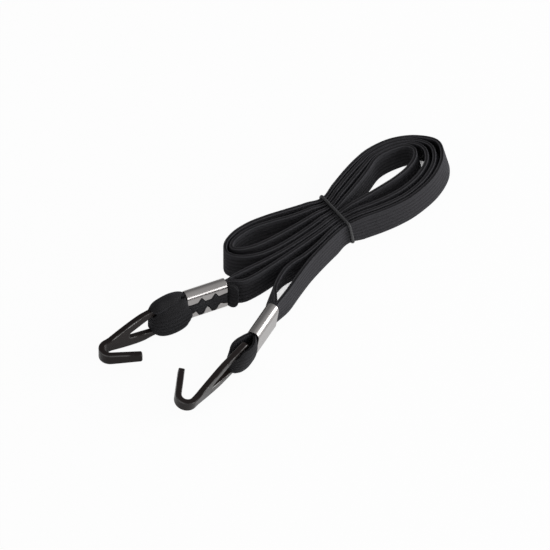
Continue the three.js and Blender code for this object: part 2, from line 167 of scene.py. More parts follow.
def turn_points(centre, reach, near, far, slack):
    """Points of one turn of the hank: out along the near leg, round the end and back along the far leg.
    Both legs take the share of the way to the centre of the turn, slack the height on the turn, from -1 to 1."""
    middle, half = (far(1) + near(1)) / 2, (far(1) - near(1)) / 2
    points = [(centre * t, near(t)) for t in LEG_SHARES]
    for angle in TURN_ANGLES:
        out, up = math.cos(angle), math.sin(angle)
        points.append((centre + (1 - slack(up)) * (reach - centre) * out, middle + half * up))
    return points + [(centre * t, far(t)) for t in reversed(LEG_SHARES)]


def right_turn(turn):
    """A turn at the right. Turn 0 is the outermost."""
    drawn = lambda t: math.sin(t * math.pi / 2) ** 1.2
    near = lambda t: lerp(waist_y(RUNS - 1 - turn), -RIGHT_NEAR[turn], drawn(t))
    outer = lambda t: lerp(waist_y(0), RIGHT_FAR, drawn(t))
    far = lambda t: outer(t) - turn * lerp(WAIST_PITCH, END_PITCH, t ** 4) - RIGHT_SAG[turn] * math.sin(t * math.pi)
    points = turn_points(RIGHT_CENTRE, RIGHT_REACH[turn], near, far, lambda up: RIGHT_SLACK[turn] * max(0, up))
    return [(x, y + RIGHT_DRIFT * x) for x, y in points]


def left_turn(turn):
    """A turn at the left. Turn 0 is the outer one."""
    near = lambda t: lerp(waist_y(RUNS / 2 - 1 - turn), LEFT_FRONT[turn], math.sin(t * math.pi / 2))
    far = lambda t: lerp(waist_y(turn), LEFT_BACK[turn], float(ease(t, 0, 1)) ** (1 + turn))
    return turn_points(-LEFT_CENTRE, -LEFT_REACH[turn], near, far, lambda up: LEFT_SLACK * max(0, -up))


def strand_route(strand):
    """The points that a strand passes, from the middle of the left ferrule to that of the right one."""
    into = (-FERRULE_LENGTH - 1.5, -FERRULE_LENGTH + 2, -FERRULE_LENGTH / 2 - 3, -FERRULE_LENGTH / 2)
    left_end = [from_left_end((x, LEFT_LAYERS[strand], 0)) for x in into]
    right_end = [from_right_end((x, RIGHT_LAYERS[strand], 0)) for x in into]
    first, last = RUNS // 2 + strand, RUNS - 1 - strand
    hank = [(-x, waist_y(first) - drop) for x, drop in reversed(LEFT_ENDS[strand])]
    hank += [(0, waist_y(first)), *right_turn(RUNS // 2 - 1 - strand), (0, waist_y(RUNS // 2 - 1 - strand))]
    hank += [*left_turn(strand), (0, waist_y(strand)), *reversed(right_turn(strand)), (0, waist_y(last))]
    hank += [(-x, waist_y(last) - drop) for x, drop in RIGHT_ENDS[strand]]
    return np.array([*reversed(left_end), *((x, y, BAND_WIDTH / 2) for x, y in hank), *right_end])


def evenly(points, step):
    """Points a fixed step apart on a broken line."""
    lengths = np.r_[0, np.cumsum(np.linalg.norm(np.diff(points, axis=0), axis=1))]
    at = np.linspace(0, lengths[-1], math.ceil(lengths[-1] / step) + 1)
    return np.column_stack([np.interp(at, lengths, points[:, axis]) for axis in range(points.shape[1])]), at


def smooth_line(points, step):
    """A smooth curve through the points, whose pull at each falls with the root of the spacing."""
    points = np.asarray(points, float)
    points = np.vstack([2 * points[0] - points[1], points, 2 * points[-1] - points[-2]])
    share = np.linspace(0, 1, 60, endpoint=False)[:, None]
    line = []
    for a, b, c, d in zip(points, points[1:], points[2:], points[3:]):
        gap_ab, gap_bc, gap_cd = (math.sqrt(np.linalg.norm(q - p)) for p, q in ((a, b), (b, c), (c, d)))
        start = ((b - a) / gap_ab - (c - a) / (gap_ab + gap_bc) + (c - b) / gap_bc) * gap_bc
        end = ((c - b) / gap_bc - (d - b) / (gap_bc + gap_cd) + (d - c) / gap_cd) * gap_bc
        cubic = 2 * b - 2 * c + start + end
        square = 3 * c - 3 * b - 2 * start - end
        line.append(b + share * (start + share * (square + share * cubic)))
    return evenly(np.vstack([*line, points[-2]]), step)


def band_section():
    """The outline across the band: thickness, then width. Ribs on both faces, a dip along each edge."""
    flank = BAND_WIDTH / 2 - EDGE_WIDTH
    across = np.linspace(-flank, flank, RIBS * RIB_POINTS + 1)
    groove = ((1 + np.cos(2 * math.pi * across * RIBS / (2 * flank))) / 2) ** 4
    groove *= (np.abs(across) < flank - 0.5)
    face = np.column_stack([BAND_THICK / 2 - RIB_GROOVE * groove, across])
    half, top = BAND_THICK / 2, BAND_WIDTH / 2
    edge = [(0.98 * half, top - 0.25), (0.86 * half, top - 0.03), (0.7 * half, top), (0.45 * half, top - 0.12),
            (0, top - EDGE_DIP)]
    edge += [(-x, y) for x, y in reversed(edge[:-1])]
    upper = np.vstack([face, edge])
    return np.vstack([upper, -upper])


class Value:
    """An output of a node. Arithmetic on it adds Math nodes to its tree."""

    def __init__(self, nodes, socket):
        self.nodes, self.socket = nodes, socket

    def __getitem__(self, output):
        return Value(self.nodes, self.socket.node.outputs[output])

    def math(self, operation, *values, clamp=False):
        settings = {"operation": operation, "use_clamp": clamp}
        return self.nodes.add("ShaderNodeMath", settings, dict(enumerate([self, *values])))

    def __add__(self, other):
        return self.math("ADD", other)

    def __sub__(self, other):
        return self.math("SUBTRACT", other)

    def __mul__(self, other):
        return self.math("MULTIPLY", other)

    def __truediv__(self, other):
        return self.math("DIVIDE", other)

    def __pow__(self, other):
        return self.math("POWER", other)

    def __rsub__(self, other):
        return self.nodes.add("ShaderNodeMath", {"operation": "SUBTRACT"}, {0: other, 1: self})

    __radd__ = __add__
    __rmul__ = __mul__

    def clamped(self):
        return self.math("ADD", 0, clamp=True)

    def between(self, start, end):
        """0 below start and 1 above end, or the other way round, with a smooth step."""
        settings = {"interpolation_type": "SMOOTHSTEP"}
        return self.nodes.add("ShaderNodeMapRange", settings, {0: self, 1: start, 2: end, 3: 0, 4: 1})


class Nodes:
    """A node tree. add() makes one node from its type, its settings and what its sockets take."""

    def __init__(self, tree):
        self.tree = tree

    def add(self, kind, settings=None, inputs=None, output=0):
        node = self.tree.nodes.new(kind)
        for name, value in (settings or {}).items():
            if name == "captured":
                for label, kept in value.items():
                    node.capture_items.new(kept, label)
            else:
                setattr(node, name, value)
        known = {socket.identifier: socket for socket in node.inputs}
        for name, value in (inputs or {}).items():
            socket = known.get(name) or node.inputs[name]
            if isinstance(value, Value):
                self.tree.links.new(value.socket, socket)
            else:
                socket.default_value = value
        return Value(self, node.outputs[output]) if node.outputs else node

    def kept(self, label):
        """A number that the mesh keeps at its points, for a material."""
        return self.add("ShaderNodeAttribute", {"attribute_name": label}, {}, "Fac")

    def noise(self, scale, detail, place=None):
        """Noise over the part, or over a place of its own."""
        place = place or self.add("ShaderNodeTexCoord", {}, {}, "Object")
        return self.add("ShaderNodeTexNoise", {}, {"Vector": place, "Scale": scale, "Detail": detail})

    def colour(self, share, low, high):
        """A colour between two others."""
        sockets = {"Factor_Float": share, "A_Color": (*low, 1), "B_Color": (*high, 1)}
        return self.add("ShaderNodeMix", {"data_type": "RGBA"}, sockets, 2)

    def bump(self, strength, distance, height):
        return self.add("ShaderNodeBump", {}, {"Strength": strength, "Distance": distance, "Height": height})

    def vector(self, operation, one, other):
        return self.add("ShaderNodeVectorMath", {"operation": operation}, {0: one, 1: other})

    def capture(self, geometry, label, kind, field):
        """A geometry that carries a field along under a label."""
        sockets = {"Geometry": geometry, label: field}
        return self.add("GeometryNodeCaptureAttribute", {"captured": {label: kind}}, sockets)


def shape_tree(name, inputs):
    """An empty Geometry Nodes tree with named inputs, its Nodes and its input node."""
    tree = bpy.data.node_groups.new(name, "GeometryNodeTree")
    tree.interface.new_socket("Geometry", in_out="INPUT", socket_type="NodeSocketGeometry")
    for label, kind in inputs.items():
        tree.interface.new_socket(label, in_out="INPUT", socket_type=kind)
    tree.interface.new_socket("Geometry", in_out="OUTPUT", socket_type="NodeSocketGeometry")
    nodes = Nodes(tree)
    return nodes, nodes.add("NodeGroupInput")


def shape_end(nodes, geometry, material, kept):
    """Ends a tree: numbers kept at the points, everything real, smooth and in its material."""
    for label, value in kept.items():
        geometry = nodes.add("GeometryNodeStoreNamedAttribute", {"data_type": "FLOAT", "domain": "POINT"},
                             {"Geometry": geometry, "Name": label, "Value": value})
    real = nodes.add("GeometryNodeRealizeInstances", {}, {"Geometry": geometry})
    rounded = nodes.add("GeometryNodeSetShadeSmooth", {}, {"Geometry": real})
    dressed = nodes.add("GeometryNodeSetMaterial", {}, {"Geometry": rounded, "Material": material})
    nodes.add("NodeGroupOutput", {}, {"Geometry": dressed})
    return nodes.tree


def plain_mesh(name, obj, tree, values):
    """The mesh that a tree makes from an object, as a new object in the part's frame."""
    made = obj.modifiers.new("shape", "NODES")
    made.node_group = tree
    sockets = {item.name: item.identifier for item in tree.interface.items_tree if item.in_out == "INPUT"}
    for label, value in values.items():
        made[sockets[label]] = value
    bpy.context.view_layer.update()
    graph = bpy.context.evaluated_depsgraph_get()
    mesh = bpy.data.meshes.new_from_object(obj.evaluated_get(graph), depsgraph=graph)
    obj.modifiers.remove(made)
    bpy.data.objects.remove(obj)
    mesh.transform(Matrix.Translation(WAIST) @ Matrix.Scale(MM, 4))
    mesh.name = name
    return linked(name, mesh)


def band_tree():
    """Sweeps the section along a path. The path's points say how wide, thick and leaning the band is there."""
    nodes, given = shape_tree("woven band", {"Section": "NodeSocketObject", "Material": "NodeSocketMaterial"})
    place = nodes.add("GeometryNodeInputPosition")
    curve = nodes.add("GeometryNodeMeshToCurve", {}, {"Mesh": given["Geometry"]})
    upright = nodes.add("GeometryNodeSetCurveNormal", {"mode": "Z_UP"}, {"Curve": curve})
    path = nodes.capture(upright, "Centre", "VECTOR", place)
    section = nodes.add("GeometryNodeObjectInfo", {}, {"Object": given["Section"]}, "Geometry")
    outline = nodes.capture(section, "Across", "VECTOR", place)
    swept = nodes.add("GeometryNodeCurveToMesh", {}, {
        "Curve": path["Geometry"], "Profile Curve": outline["Geometry"], "Fill Caps": True,
    })
    told = lambda label, kind: nodes.add("GeometryNodeInputNamedAttribute", {"data_type": kind}, {"Name": label})
    thick, width, lean = told("thick", "FLOAT"), told("width", "FLOAT"), told("lean", "FLOAT_VECTOR")
    share = nodes.add("ShaderNodeCombineXYZ", {}, {"X": thick, "Y": thick, "Z": width})
    pressed = nodes.vector("MULTIPLY", nodes.vector("SUBTRACT", place, path["Centre"]), share)
    rise = nodes.add("ShaderNodeSeparateXYZ", {}, {"Vector": pressed})["Z"]
    made = nodes.add("GeometryNodeSetPosition", {}, {
        "Geometry": swept, "Position": nodes.vector("ADD", path["Centre"], pressed),
        "Offset": nodes.add("ShaderNodeVectorMath", {"operation": "SCALE"}, {0: lean, "Scale": rise}),
    })
    spot = nodes.add("ShaderNodeSeparateXYZ", {}, {"Vector": outline["Across"]})
    return shape_end(nodes, made, given["Material"], {"across": spot["Y"], "depth": spot["X"]})


def keep(mesh, numbers):
    """Keeps numbers or vectors at the points of a mesh, each kind under its label."""
    for label, values in numbers.items():
        values = np.asarray(values, "f")
        kind, field = ("FLOAT", "value") if values.ndim == 1 else ("FLOAT_VECTOR", "vector")
        mesh.attributes.new(label, kind, "POINT").data.foreach_set(field, values.ravel())


def line_object(name, points, closed=False, **numbers):
    """A line of edges through points, in millimetres, with numbers or vectors kept at each point."""
    count = len(points)
    edges = [(i, (i + 1) % count) for i in range(count if closed else count - 1)]
    mesh = bpy.data.meshes.new(name)
    mesh.from_pydata([tuple(map(float, p)) for p in points], edges, [])
    keep(mesh, numbers)
    return linked(name, mesh)


def closed_curve(name, outline):
    """A closed flat curve from an outline, in millimetres."""
    curve = bpy.data.curves.new(name, "CURVE")
    curve.dimensions = "3D"
    spline = curve.splines.new("POLY")
    spline.points.add(len(outline) - 1)
    for point, (x, y) in zip(spline.points, outline):
        point.co = (x, y, 0, 1)
    spline.use_cyclic_u = True
    return linked(name, curve)


def surface(name):
    """A new material and its Nodes, still empty."""
    material = bpy.data.materials.new(name)
    material.use_nodes = True
    material.node_tree.nodes.clear()
    return material, Nodes(material.node_tree)


def finish_surface(nodes, inputs):
    """Ends a material: one shader, fed with numbers, colours and links."""
    shader = nodes.add("ShaderNodeBsdfPrincipled", {}, inputs)
    nodes.add("ShaderNodeOutputMaterial", {}, {"Surface": shader})


def woven_black(name, shade):
    """Black polyester weave: weft rows that step from rib to rib, with painted shade in the rib grooves and on the
    band's edge strips, and a painted highlight along both rims of each edge strip.
    """
    material, nodes = surface(name)
    along, across, depth = nodes.kept("along"), nodes.kept("across"), nodes.kept("depth").math("ABSOLUTE")
    rib = across * (RIBS / (BAND_WIDTH - 2 * EDGE_WIDTH))
    weft = ((along / WEFT_PITCH + (rib + 0.5).math("FLOOR") * 0.5) * (2 * math.pi)).math("SINE")
    twill = ((along / TWILL_PITCH + across / 0.3) * (2 * math.pi)).math("SINE")
    groove = ((rib * (2 * math.pi)).math("COSINE") * 0.5 + 0.5) ** 5
    edge = across.math("ABSOLUTE").between(BAND_WIDTH / 2 - EDGE_WIDTH, BAND_WIDTH / 2 - 0.25)
    rim = edge * depth.between(0.36, 0.54)
    cloud, fuzz = nodes.noise(90, 3), nodes.noise(2600, 2)
    # Painted light in the tone: the rib grooves and the edge strips are darkened as painted shade, and the rims where
    # an edge meets the faces are lightened as a painted highlight.
    tone = cloud * 0.3 + fuzz * 0.4 + weft * 0.03 + twill * 0.04 - groove * 0.3 * (1 - edge) - edge * 0.4 + rim * 0.8
    pale = (0.037 * shade, 0.036 * shade, 0.04 * shade)
    height = (weft * 0.2 + twill * 0.14) * (1 - edge) + fuzz * 1.2
    finish_surface(nodes, {
        "Base Color": nodes.colour((tone + 0.22).clamped(), (0.007, 0.0066, 0.007), pale),
        "Roughness": 0.85, "Specular IOR Level": 0.2, "Normal": nodes.bump(0.55, 0.00012, height),
        "Sheen Weight": 0.04, "Sheen Roughness": 0.5, "Sheen Tint": (0.7, 0.72, 0.9, 1),
    })
    return material


band_weave = woven_black("woven_black", 1)
section = closed_curve("band_section", band_section())
tree = band_tree()
for strand in range(2):
    line, along = smooth_line(strand_route(strand), BAND_STEP)
    to_end = np.minimum(along, along[-1] - along)
    layer_thick = np.where(along < along[-1] / 2, LEFT_LAYER_THICK, RIGHT_LAYER_THICK)
    grip = FERRULE_LENGTH / 2
    drawn = 1 - ease(np.abs(line[:, 0]), 1.1, WAIST_FADE)
    width = lerp(LAYER_END, LAYER_WIDTH, ease(to_end, 0, grip - 2))
    width = lerp(width, BAND_WIDTH - 2 * WAIST_DRAW * drawn, ease(to_end, grip - 1, grip + 3))
    thick = lerp(layer_thick, BAND_THICK, ease(to_end, grip + 0.5, grip + 9))
    line[:, 2] = np.maximum(line[:, 2], width / 2)
    turned = -TURN_LEAN[strand] * ease(line[:, 0], 0.4 * RIGHT_CENTRE, RIGHT_REACH[0])
    tip, reach = RIGHT_TIP[strand]
    tipped = tip * (1 - ease(along[-1] - along, grip, grip + reach))
    lean = np.outer(turned, (1, 0, 0)) + np.outer(tipped, (-math.sin(RIGHT_TURN), math.cos(RIGHT_TURN), 0))
    path = line_object(f"strand_{strand + 1}_path", line, along=along, width=width / BAND_WIDTH,
                       thick=thick / BAND_THICK, lean=lean)
    piece = plain_mesh(f"elastic_strand_{strand + 1}", path, tree, {"Section": section, "Material": band_weave})
    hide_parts(f"band_strand_{strand + 1}")
    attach(piece, "strap")
bpy.data.objects.remove(section)

# Tie: a thin round elastic ring that holds the hank together at the waist.
# It is pulled tight round all the runs, and slants a little on the near side.
TIE_DIAMETER, TIE_CORNER, TIE_SLANT = 1.3, 1.7, 0.18
TIE_GAP, TIE_TALLER, TIE_RISE = 0.15, 0.19, 0.2


def tie_path():
    """A rounded rectangle round the runs at the waist."""
    half_y = waist_y(0) - WAIST_BACK + BAND_THICK / 2 + TIE_GAP + TIE_DIAMETER / 2
    half_z = (BAND_WIDTH - TIE_DIAMETER) / 2 + TIE_TALLER
    points = []
    for quarter, (side, up) in enumerate(((1, 1), (-1, 1), (-1, -1), (1, -1))):
        for angle in np.radians(np.linspace(90 * quarter, 90 * quarter + 90, 13)):
            y = side * (half_y - TIE_CORNER) + TIE_CORNER * math.cos(angle)
            z = up * (half_z - TIE_CORNER) + TIE_CORNER * math.sin(angle)
            slant = TIE_SLANT * (half_z - z) * (half_y - y) / (2 * half_y)
            points.append((slant, y + WAIST_BACK, BAND_WIDTH / 2 + TIE_RISE + z))
    return np.array(points)


def round_cord_tree():
    """A round cord along a closed line, with its length and the way round it kept for the braid."""
    nodes, given = shape_tree("round cord", {"Radius": "NodeSocketFloat", "Material": "NodeSocketMaterial"})
    curve = nodes.add("GeometryNodeMeshToCurve", {}, {"Mesh": given["Geometry"]})
    even = nodes.add("GeometryNodeResampleCurve", {"mode": "LENGTH"}, {"Curve": curve, "Length": 0.35})
    circle = nodes.add("GeometryNodeCurvePrimitiveCircle", {}, {"Resolution": 20, "Radius": given["Radius"]})
    spot = nodes.add("GeometryNodeSplineParameter")
    around = nodes.capture(circle, "Around", "FLOAT", spot["Factor"])
    length = nodes.capture(even, "Along", "FLOAT", spot["Length"])
    swept = nodes.add("GeometryNodeCurveToMesh", {}, {
        "Curve": length["Geometry"], "Profile Curve": around["Geometry"], "Fill Caps": True,
    })
    return shape_end(nodes, swept, given["Material"], {"along": length["Along"], "around": around["Around"]})


def braided_black():
    """Black yarn braided over rubber, two ways round."""
    material, nodes = surface("braided_black")
    along, around = nodes.kept("along") / 0.9, nodes.kept("around") * 4
    one = ((along + around) * (2 * math.pi)).math("SINE")
    other = ((along - around) * (2 * math.pi)).math("SINE")
    braid = one.math("MAXIMUM", other)
    finish_surface(nodes, {
        "Base Color": nodes.colour((braid * 0.3 + 0.5).clamped(), (0.012, 0.012, 0.0125), (0.038, 0.038, 0.04)),
        "Roughness": 0.6, "Normal": nodes.bump(0.5, 0.0001, braid),
    })
    return material


piece = plain_mesh("waist_ring", line_object("tie_path", tie_path(), True), round_cord_tree(), {
    "Radius": TIE_DIAMETER / 2, "Material": braided_black(),
})
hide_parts("waist_tie")
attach(piece, "strap")

# Ferrules: nickel-plated sheet steel, cut with toothed edges and folded round the band,
# so that the teeth of both edges close on it. The right one lies with its seam turned away.
FERRULE_THICK = 5.8
FERRULE_TOP, FERRULE_FOOT = 7.6, -7.3
SHEET, SHEET_ROUNDING, SHEET_STEP = 0.8, 0.18, 0.3
FERRULE_RADIUS, JAW_ROUNDING = 2.85, 0.35
UPPER_JAW = [(-18.5, 2.6), (-17.4, 2.5), (-14.4, 2.1), (-12.72, 4.7), (-11, 2), (-8.2, 1.9), (-6.5, 4.5),
             (-4.8, 2.1), (-1.6, 2), (0, 2.2)]
LOWER_JAW = [(-18.5, -3.6), (-17, -3.2), (-15.35, -2.2), (-14.3, -3.2), (-13.3, -5.6), (-12.3, -6.5), (-11.2, -5.4),
             (-10.3, -3.1), (-9.24, -1.6), (-8.3, -3), (-7.4, -5.6), (-6.4, -6.6), (-5.3, -5.5), (-4.6, -3.7),
             (-3.8, -2.4), (-2.7, -3.2), (0, -3.5)]


def resampled(loop, step):
    """A closed loop with points about a step apart, its corners kept."""
    loop = np.asarray(loop, float)
    points = []
    for start, end in zip(loop, np.roll(loop, -1, axis=0)):
        count = max(1, math.ceil(np.linalg.norm(end - start) / step))
        points += [lerp(start, end, i / count) for i in range(count)]
    return np.array(points)


def rounded_corners(loop, radius):
    """A closed loop whose corners are rounded, each as far as its sides allow."""
    loop = np.asarray(loop, float)
    points = []
    for before, corner, after in zip(np.roll(loop, 1, axis=0), loop, np.roll(loop, -1, axis=0)):
        reach = min(radius, 0.45 * np.linalg.norm(before - corner), 0.45 * np.linalg.norm(after - corner))
        start = corner + reach * (before - corner) / np.linalg.norm(before - corner)
        end = corner + reach * (after - corner) / np.linalg.norm(after - corner)
        for t in np.linspace(0, 1, 7):
            points.append((1 - t) ** 2 * start + 2 * t * (1 - t) * corner + t * t * end)
    return np.array(points)


def inside_plate(points, loops):
    """Which points lie inside the outline and outside the holes: a line to one side crosses an odd number of edges."""
    x, y = points[:, 0, None], points[:, 1, None]
    crossed = 0
    for loop in loops:
        (x0, y0), (x1, y1) = loop.T, np.roll(loop, -1, axis=0).T
        slope = (x1 - x0) / np.where(y1 == y0, 1e-12, y1 - y0)
        crossed = crossed + (((y0 > y) != (y1 > y)) & (x < x0 + slope * (y - y0))).sum(axis=1)
    return crossed % 2 == 1


def plate_half(loops, thick, rounding, step):
    """The upper half of a flat plate with rounded edges: points, heights, normals, triangles and border edges."""
    flat, heights, normals, edges, border = [], [], [], [], []
    for loop in loops:
        along = np.roll(loop, -1, axis=0) - np.roll(loop, 1, axis=0)
        along /= np.linalg.norm(along, axis=1)[:, None]
        inward = np.column_stack([-along[:, 1], along[:, 0]])
        for angle in np.radians((0, 22.5, 45, 67.5, 90)):
            first, count = len(heights), len(loop)
            flat += list(loop + inward * rounding * (1 - math.cos(angle)))
            heights += [thick / 2 - rounding + rounding * math.sin(angle)] * count
            normals += [(*(-math.cos(angle) * side), math.sin(angle)) for side in inward]
            ring = [(first + i, first + (i + 1) % count) for i in range(count)]
            edges += ring
            border += ring if angle == 0 else []
    low, high = loops[0].min(axis=0), loops[0].max(axis=0)
    columns, rows = (np.arange(a + 0.3, b, 2 * step) for a, b in zip(low, high))
    grid = np.array([(x, y) for x in columns for y in rows])
    rims = np.vstack(loops)
    clear = np.array([np.min(np.linalg.norm(rims - p, axis=1)) for p in grid]) > rounding + step
    grid = grid[clear & inside_plate(grid, loops)]
    flat = np.vstack([flat, grid])
    heights = np.r_[heights, np.full(len(grid), thick / 2)]
    normals = np.vstack([normals, np.tile((0, 0, 1), (len(grid), 1))])
    spots, _, faces, origins, _, _ = delaunay_2d_cdt([Vector(p) for p in flat], edges, [], 0, 1e-5)
    spots = np.array([tuple(p) for p in spots])
    nearest = lambda p: int(np.argmin(np.linalg.norm(flat - p, axis=1)))
    source = np.array([ids[0] if ids else nearest(p) for ids, p in zip(origins, spots)])
    faces = np.array([tuple(face) for face in faces if len(face) == 3])
    faces = faces[inside_plate(spots[faces].mean(axis=1), loops)]
    a, b, c = spots[faces[:, 0]], spots[faces[:, 1]], spots[faces[:, 2]]
    turned = (b - a)[:, 0] * (c - a)[:, 1] - (b - a)[:, 1] * (c - a)[:, 0] < 0
    faces[turned] = faces[turned][:, ::-1]
    place = {int(old): new for new, ids in enumerate(origins) for old in ids}
    return spots, heights[source], normals[source], faces, [(place[p], place[q]) for p, q in border]


def solid_piece(name, points, faces, material, **numbers):
    """A closed piece from millimetres, its faces turned outwards, with numbers kept at its points."""
    middle = points - points.mean(axis=0)
    a, b, c, d = (middle[[face[min(i, len(face) - 1)] for face in faces]] for i in range(4))
    if np.sum(a * np.cross(b, c) + a * np.cross(c, d)) < 0:
        faces = [face[::-1] for face in faces]
    mesh = bpy.data.meshes.new(name)
    mesh.from_pydata(to_part(points).tolist(), [], faces)
    keep(mesh, numbers)
    mesh.shade_smooth()
    mesh.materials.append(material)
    return linked(name, mesh)


def bent_plate(name, outline, holes, thick, rounding, step, bend, material):
    """A plate cut from a flat pattern, its edges rounded, bent to shape. The outline runs counterclockwise
    and the holes clockwise. bend() takes flat points, with their height from the middle of the plate."""
    loops = [resampled(loop, step) for loop in (outline, *holes)]
    spots, heights, normals, faces, border = plate_half(loops, thick, rounding, step)
    count = len(spots)
    walls = [(q, p, p + count, q + count) for p, q in border]
    flat = np.vstack([np.column_stack([spots, heights]), np.column_stack([spots, -heights])])
    made = bend(flat)
    facing = bend(flat + 0.01 * np.vstack([normals, normals * (1, 1, -1)])) - made
    facing /= np.linalg.norm(facing, axis=1)[:, None]
    faces = [*faces.tolist(), *(faces[:, ::-1] + count).tolist(), *walls]
    rim = 2 * normals[:, 2] * np.sqrt(np.maximum(0, 1 - normals[:, 2] ** 2))
    piece = solid_piece(name, made, faces, material, along=np.tile(spots[:, 0], 2), around=np.tile(spots[:, 1], 2),
                        rim=np.tile(rim, 2))
    piece.data.normals_split_custom_set_from_vertices(facing.tolist())
    return piece


def fold_round(points):
    """Folds the ferrule's flat pattern: x stays, and the way round goes up from the middle of the seam side."""
    radius = FERRULE_RADIUS - SHEET / 2
    half = FERRULE_THICK / 2 - SHEET / 2
    top, foot = FERRULE_TOP - SHEET / 2, FERRULE_FOOT + SHEET / 2
    across = 2 * (half - radius)
    y, heading = np.full(len(points), half), np.zeros(len(points))
    z, left = np.minimum(points[:, 1], 0), np.maximum(points[:, 1], 0)
    for straight in (top - radius, across, top - foot - 2 * radius, across, math.inf):
        go = np.minimum(left, straight)
        turn = np.minimum((left - go) / radius, math.pi / 2)
        y += radius * (np.cos(heading + turn) - np.cos(heading)) - go * np.sin(heading)
        z += radius * (np.sin(heading + turn) - np.sin(heading)) + go * np.cos(heading)
        heading, left = heading + turn, left - go - radius * turn
    out = points[:, 2]
    return np.column_stack([points[:, 0], y + out * np.cos(heading), z + out * np.sin(heading)])


def round_length():
    """How long the sheet is round the ferrule, along its middle."""
    radius = FERRULE_RADIUS - SHEET / 2
    return 2 * (FERRULE_THICK - SHEET + FERRULE_TOP - FERRULE_FOOT - SHEET) - (8 - 2 * math.pi) * radius


def rolled(points, roll):
    """Points of an end, turned about the line that runs out to the hook."""
    x, y, z = np.moveaxis(np.asarray(points, float), -1, 0)
    return np.stack([x, y * np.cos(roll) - z * np.sin(roll), y * np.sin(roll) + z * np.cos(roll)], axis=-1)


def in_ferrule(side):
    """From a ferrule's own frame to millimetres from the waist. The right one is turned end for end."""
    if side == "left":
        return from_left_end
    return lambda p: from_right_end(rolled(np.asarray(p) * (-1, -1, 1) - (FERRULE_LENGTH, 0, 0), RIGHT_ROLL))


def ferrule(name, place, material):
    """A sleeve from one flat piece of sheet, whose two toothed edges meet at the seam."""
    lower = [(x, round_length() + z) for x, z in reversed(LOWER_JAW)]
    pattern = rounded_corners([*UPPER_JAW, *lower], JAW_ROUNDING)
    return bent_plate(name, pattern, [], SHEET, SHEET_ROUNDING, SHEET_STEP, lambda p: place(fold_round(p)), material)


def satin_nickel():
    """Nickel plate over drawn sheet: faint streaks along the ferrule and a soft change of gloss."""
    material, nodes = surface("satin_nickel")
    drawn = nodes.add("ShaderNodeCombineXYZ", {}, {"X": nodes.kept("along") * 0.12, "Y": nodes.kept("around") * 3})
    streak, broad = nodes.noise(1, 4, drawn), nodes.noise(160, 2)
    mottle = (streak * 0.6 + broad * 0.4).clamped()
    finish_surface(nodes, {
        "Base Color": nodes.colour(mottle, (0.3, 0.286, 0.28), (0.37, 0.355, 0.35)), "Metallic": 1,
        "Roughness": broad * 0.08 + streak * 0.1 + 0.2, "Normal": nodes.bump(0.06, 0.00004, streak),
    })
    return material


nickel = satin_nickel()
for side in ("left", "right"):
    piece = ferrule(f"crimped_ferrule_{side}", in_ferrule(side), nickel)
    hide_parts(f"ferrule_{side}")
    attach(piece, "strap")

# Hooks: steel plate, punched with a long eye, tapered, painted black and bent over into a J.
# The band goes through the eye and round its end bar, so the hook swings on the band.
PLATE, PLATE_ROUNDING, PLATE_STEP = 2.7, 0.5, 0.4
EYE_HEIGHT, EYE_CORNER, EYE_STRAIGHT = 14.5, 3, 16
BAR, LEG = 3, 2.6
SLOT_STRAIGHT, SLOT_END, SLOT_END_RADIUS, SLOT_CORNER = 11, 23.7, 1.6, 0.9
HOOK_LENGTH, NECK_AT, NECK_HEIGHT = 40.5, 33.3, 5.8
TIP_HEIGHT, TIP_LENGTH, TIP_CORNER = 4, 13, 0.9
BEND_RADIUS, MOUTH_ANGLE = 2.4, math.radians(31)
NECK_TURN = 5
EYE_IN_LOOP = 10
# Each end: the loop's length, how far it swings aside, turns over, rolls from ferrule to hook, rises and droops.
ENDS = {
    "left": {"place": from_left_end, "loop": 15.5, "swing": math.radians(11.9), "over": 0, "rolls": (0, 0),
             "rise": 0, "droop": 0},
    "right": {"place": from_right_end, "loop": 15.3, "swing": math.radians(-10.3), "over": math.pi,
              "rolls": (RIGHT_ROLL, math.radians(-14)), "rise": 1, "droop": math.radians(3.5)},
}
plate_radius = BEND_RADIUS + PLATE / 2
bend_at = HOOK_LENGTH - plate_radius - PLATE / 2
bend_angle = math.pi - MOUTH_ANGLE
plate_length = bend_at + plate_radius * bend_angle + TIP_LENGTH


def plate_half_height(s):
    """Half the height of the flat plate at a distance from the eye's end: a rounded eye, a taper and the tip."""
    if s < EYE_CORNER:
        return EYE_HEIGHT / 2 - EYE_CORNER + math.sqrt(max(0, EYE_CORNER ** 2 - (EYE_CORNER - s) ** 2))
    if s < NECK_AT:
        share = max(0, (s - EYE_STRAIGHT) / (NECK_AT - EYE_STRAIGHT))
        return (EYE_HEIGHT - (EYE_HEIGHT - NECK_HEIGHT) * share ** 1.3) / 2
    half = lerp(NECK_HEIGHT, TIP_HEIGHT, (s - NECK_AT) / (plate_length - NECK_AT)) / 2
    past = max(0, s - plate_length + TIP_CORNER)
    return half - TIP_CORNER + math.sqrt(max(0, TIP_CORNER ** 2 - past ** 2))


def hook_pattern():
    """The flat plate's outline and its slot."""
    corner = [EYE_CORNER * (1 - math.cos(a)) for a in np.linspace(0, math.pi / 2, 12)]
    tip = [plate_length - TIP_CORNER * (1 - math.sin(a)) for a in np.linspace(0, math.pi / 2, 9)]
    spots = [*corner, *np.arange(EYE_CORNER + 0.5, tip[0] - 0.2, 0.5), *tip]
    lower = [(s, -plate_half_height(s)) for s in spots]
    upper = [(s, -height) for s, height in reversed(lower)]
    slot_half = EYE_HEIGHT / 2 - LEG
    end_at = SLOT_END - SLOT_END_RADIUS
    slot = [(BAR, -slot_half), (BAR, slot_half), (SLOT_STRAIGHT, slot_half)]
    for angle in np.linspace(math.pi / 3, -math.pi / 3, 12):
        slot.append((end_at + SLOT_END_RADIUS * math.cos(angle), SLOT_END_RADIUS * math.sin(angle)))
    slot.append((SLOT_STRAIGHT, -slot_half))
    return [*lower, *upper], rounded_corners(slot, SLOT_CORNER)


